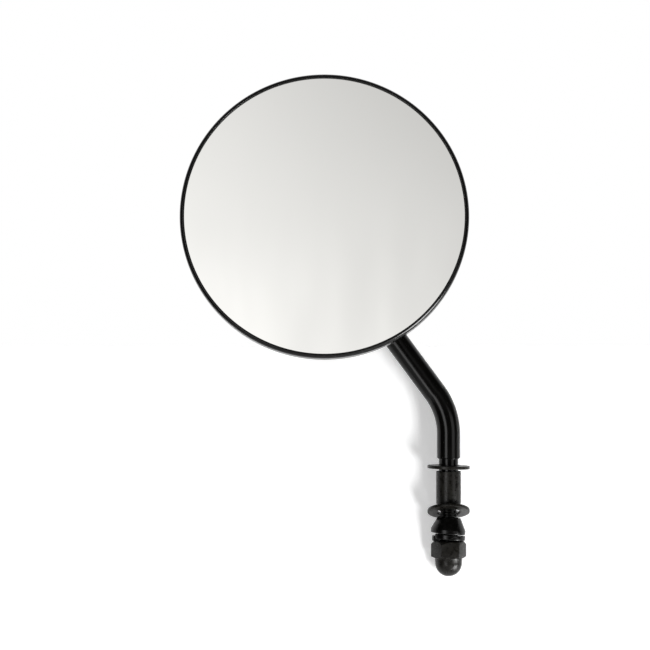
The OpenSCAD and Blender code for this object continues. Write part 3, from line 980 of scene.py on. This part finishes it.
class MIRROR_OT_studio(bpy.types.Operator):
    """Camera, pale floor and backdrop, soft lamps and world"""

    bl_idname = "mirror.studio"
    bl_label = "Studio"

    def execute(self, context):
        look = context.scene.mirror_studio
        self.add_camera(context, look)
        self.add_paper(look)
        self.add_world(context)
        # Name, place, size in metres, power in watts, and whether it shows in gloss
        lamps = (
            ("key_lamp", (0.525, -0.955, -0.51), (0.28, 0.42), look.key_power, False),
            ("left_panel", (-0.50, -1.0, 0.02), (0.4, 1.0), 4.9, True),
            ("right_panel", (0.82, -0.80, 0.03), (0.56, 0.36), 1.0, True),
            ("low_panel", (0.77, -0.36, -0.55), (0.45, 0.45), 19.0, True),
        )
        for lamp in lamps:
            self.add_lamp(*lamp)
        context.scene.view_settings.view_transform = "Standard"
        return {"FINISHED"}

    def add_camera(self, context, look):
        """Long lens, level, at the photograph's viewing angle."""
        data = bpy.data.cameras.new("camera")
        data.lens = look.focal_length
        data.sensor_width = 36
        camera = bpy.data.objects.new("camera", data)
        camera.location = look.camera_place
        camera.rotation_euler = (math.pi / 2, 0, 0)
        context.scene.collection.objects.link(camera)
        context.scene.camera = camera

    def add_paper(self, look):
        """White paper: a floor that curves up into a board close behind the stem."""
        cove, half_width, front_edge = 0.25, 1.2, -2.5
        back = look.board_gap
        lean = math.atan(look.board_slope)
        joint = look.floor_height + cove * (1 - math.sin(lean))
        start = back + look.board_slope * joint - cove * math.cos(lean)
        profile = [(front_edge, look.floor_height)]
        foot = (start, look.floor_height + cove)
        profile += arc(foot, cove, 270, 360 - math.degrees(lean), 16)
        profile += [(back + look.board_slope * look.board_top, look.board_top)]
        rows = [[(x, y, z) for y, z in profile] for x in (-half_width, half_width)]
        mesh = bpy.data.meshes.new("paper")
        count = len(profile)
        faces = [(i, i + count, i + count + 1, i + 1) for i in range(count - 1)]
        mesh.from_pydata(rows[0] + rows[1], [], faces)
        mesh.shade_smooth()
        paper = bpy.data.objects.new("paper", mesh)
        bpy.context.scene.collection.objects.link(paper)
        material = bpy.data.materials.new("white_paper")
        material.use_nodes = True
        tree = material.node_tree
        tree.nodes.clear()
        out = tree.nodes.new("ShaderNodeOutputMaterial")
        white = tree.nodes.new("ShaderNodeBsdfDiffuse")
        white.inputs["Color"].default_value = (0.86, 0.86, 0.86, 1)
        lift = tree.nodes.new("ShaderNodeEmission")
        path = tree.nodes.new("ShaderNodeLightPath")
        seen = maths(tree, "MAXIMUM", path.outputs["Is Camera Ray"], path.outputs["Is Glossy Ray"])
        seen = maths(tree, "MAXIMUM", seen, path.outputs["Is Transmission Ray"])
        tree.links.new(maths(tree, "MULTIPLY", seen, look.paper_lift), lift.inputs["Strength"])
        both = tree.nodes.new("ShaderNodeAddShader")
        tree.links.new(white.outputs[0], both.inputs[0])
        tree.links.new(lift.outputs[0], both.inputs[1])
        clear = tree.nodes.new("ShaderNodeBsdfTransparent")
        side = tree.nodes.new("ShaderNodeNewGeometry")
        mix_shaders(tree, side.outputs["Backfacing"], both, clear, out)
        mesh.materials.append(material)

    def add_world(self, context):
        """White where it is seen, and in gloss at the back; else a dim room, pale above."""
        world = bpy.data.worlds.new("studio")
        context.scene.world = world
        world.use_nodes = True
        tree = world.node_tree
        tree.nodes.clear()
        out = tree.nodes.new("ShaderNodeOutputWorld")
        place = tree.nodes.new("ShaderNodeTexCoord")
        parts = tree.nodes.new("ShaderNodeSeparateXYZ")
        tree.links.new(place.outputs["Generated"], parts.inputs["Vector"])
        x, y, z = (parts.outputs[i] for i in range(3))

        def times(first, second):
            return maths(tree, "MULTIPLY", first, second)

        def plus(first, second):
            return maths(tree, "ADD", first, second)

        def ramp(value, *bounds):
            return remap(tree, value, *bounds)

        front_level, back_level = 0.035, 0.9
        room = ramp(y, -0.05, 0.5, front_level, back_level)
        # Pale ceiling above the camera, darker to the right and upwards, for the glass
        ceiling, ceiling_height, fall_right, fall_up = 0.89, 0.315, 2.2, 2.3
        slope = plus(times(x, -fall_right), ceiling)
        slope = plus(slope, times(z, -fall_up))
        slope = plus(slope, fall_up * ceiling_height)
        # Soft upright bands, stronger towards the bottom of the glass
        across, upwards, darker, paler = 55.0, 14.0, -0.03, 0.05
        stretched = tree.nodes.new("ShaderNodeCombineXYZ")
        tree.links.new(times(x, across), stretched.inputs["X"])
        tree.links.new(times(z, upwards), stretched.inputs["Z"])
        bands = noise(tree, stretched.outputs["Vector"], scale=1.0, detail=2.0)
        bands = ramp(bands, 0.3, 0.7, darker, paler)
        slope = plus(slope, times(bands, ramp(z, 0.37, 0.31)))
        # Brighter at the lower left of the glass
        corner_gain = 0.045
        corner = times(ramp(z, 0.35, 0.32), ramp(x, -0.016, -0.034))
        slope = plus(slope, times(corner, corner_gain))
        darkest, palest = 0.35, 1.1
        slope = maths(tree, "MINIMUM", maths(tree, "MAXIMUM", slope, darkest), palest)
        # It fades out below and above, to both sides and towards the back.
        window = times(ramp(z, 0.10, 0.17), ramp(z, 0.7, 0.45))
        window = times(window, ramp(maths(tree, "ABSOLUTE", x), 0.6, 0.35))
        window = times(window, ramp(y, -0.3, -0.6))
        level = tree.nodes.new("ShaderNodeMix")
        tree.links.new(window, level.inputs["Factor"])
        tree.links.new(room, level.inputs[2])
        tree.links.new(slope, level.inputs[3])
        light = tree.nodes.new("ShaderNodeBackground")
        tree.links.new(level.outputs[0], light.inputs["Strength"])
        white = tree.nodes.new("ShaderNodeBackground")
        for shader in (light, white):
            shader.inputs["Color"].default_value = (1, 1, 1, 1)
        path = tree.nodes.new("ShaderNodeLightPath")
        seen = maths(
            tree, "MAXIMUM", path.outputs["Is Camera Ray"], path.outputs["Is Transmission Ray"]
        )
        # Metal and glass show the same white on the side where the backdrop is.
        behind = times(path.outputs["Is Glossy Ray"], ramp(y, 0.3, 0.5))
        seen = maths(tree, "MAXIMUM", seen, behind)
        mix_shaders(tree, seen, light, white, out)

    def add_lamp(self, name, place, size, power, in_gloss):
        """Rectangular soft lamp that faces the stem's shoulder."""
        data = bpy.data.lights.new(name, "AREA")
        data.shape = "RECTANGLE"
        data.size, data.size_y = size
        data.energy = power
        lamp = bpy.data.objects.new(name, data)
        lamp.location = place
        lamp.rotation_euler = (-Vector(place)).to_track_quat("-Z", "Y").to_euler()
        lamp.visible_camera = False
        # A lamp either lights the scene or shows as a soft shape in the gloss.
        lamp.visible_glossy = in_gloss
        lamp.visible_diffuse = not in_gloss
        bpy.context.scene.collection.objects.link(lamp)


class MIRROR_PT_panel(bpy.types.Panel):
    """Lists the mirror's pieces and the studio"""

    bl_idname = "MIRROR_PT_panel"
    bl_label = "Mirror"
    bl_space_type = "VIEW_3D"
    bl_region_type = "UI"
    bl_category = "Mirror"

    def draw(self, context):
        column = self.layout.column()
        for operator in OPERATORS:
            column.operator(operator.bl_idname)
        for name, group in SETTINGS.items():
            box = self.layout.box()
            for label in group.__annotations__:
                box.prop(getattr(context.scene, name), label)


SETTINGS = {
    "mirror_head": HeadSizes,
    "mirror_stem": StemSizes,
    "mirror_hardware": HardwareSizes,
    "mirror_paint": PaintLook,
    "mirror_glass": GlassLook,
    "mirror_studio": StudioLook,
}
OPERATORS = (
    MIRROR_OT_shell,
    MIRROR_OT_glass,
    MIRROR_OT_ball_joint,
    MIRROR_OT_stem,
    MIRROR_OT_flat_washers,
    MIRROR_OT_sleeve,
    MIRROR_OT_cone,
    MIRROR_OT_split_washer,
    MIRROR_OT_acorn_nut,
    MIRROR_OT_studio,
)


def register():
    for group in SETTINGS.values():
        bpy.utils.register_class(group)
    for operator in OPERATORS:
        bpy.utils.register_class(operator)
    bpy.utils.register_class(MIRROR_PT_panel)
    for name, group in SETTINGS.items():
        setattr(bpy.types.Scene, name, PointerProperty(type=group))


def unregister():
    for name in SETTINGS:
        delattr(bpy.types.Scene, name)
    bpy.utils.unregister_class(MIRROR_PT_panel)
    for operator in reversed(OPERATORS):
        bpy.utils.unregister_class(operator)
    for group in reversed(list(SETTINGS.values())):
        bpy.utils.unregister_class(group)


def main():
    register()
    bpy.ops.mirror.shell()
    bpy.ops.mirror.glass()
    bpy.ops.mirror.ball_joint()
    bpy.ops.mirror.stem()
    bpy.ops.mirror.flat_washers()
    bpy.ops.mirror.sleeve()
    bpy.ops.mirror.cone()
    bpy.ops.mirror.split_washer()
    bpy.ops.mirror.acorn_nut()
    bpy.ops.mirror.studio()


if __name__ == "__main__":
    main()
